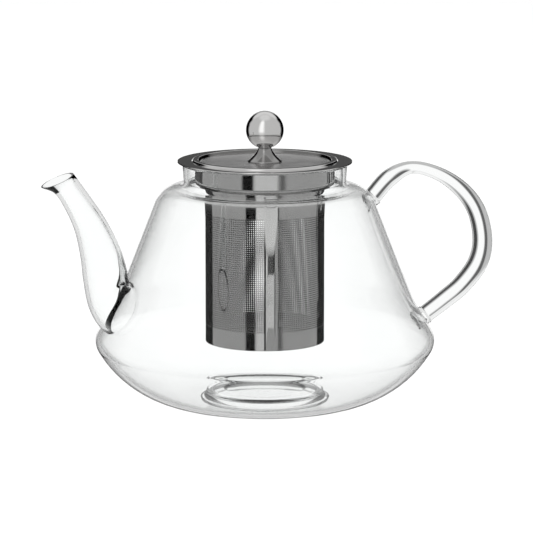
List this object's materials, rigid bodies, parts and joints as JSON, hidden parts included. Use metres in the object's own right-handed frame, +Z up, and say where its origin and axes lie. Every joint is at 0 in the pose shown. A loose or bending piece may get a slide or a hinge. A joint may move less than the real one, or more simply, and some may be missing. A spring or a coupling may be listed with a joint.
{
  "type": "teapot",
  "caption": "Glass teapot with a conical body, curved spout and rod handle, a lift-out perforated steel infuser and a flat steel lid with a ball knob.",
  "frame": {"origin": "on the pot's axis, in the plane the foot ring stands on", "axes": "+X towards the handle, -X towards the spout, +Z up"},
  "size_m": [0.2496, 0.18, 0.1586],
  "materials": {
    "glass": "clear borosilicate glass, fire polished",
    "polished_steel": "mirror-polished stainless steel",
    "perforated_steel": "satin stainless sheet, perforated"
  },
  "bodies": {
    "teapot": {"glass_body": "glass", "spout": "glass", "handle": "glass", "handle_upper_weld": "glass", "handle_lower_weld": "glass"},
    "infuser": {"infuser_collar": "polished_steel", "infuser_basket": "perforated_steel", "basket_base": "perforated_steel", "basket_seam": "perforated_steel"},
    "lid": {"lid_pan": "polished_steel", "lid_skirt": "polished_steel", "knob_boss": "polished_steel", "lid_knob": "polished_steel", "knob_washer": "polished_steel", "knob_screw": "polished_steel"}
  },
  "joints": [
    {"name": "infuser_lift", "type": "slide", "parent": "teapot", "child": "infuser", "axis": [0, 0, 1], "range_m": [0, 0.11]},
    {"name": "lid_lift", "type": "slide", "parent": "infuser", "child": "lid", "axis": [0, 0, 1], "range_m": [0, 0.06]}
  ]
}
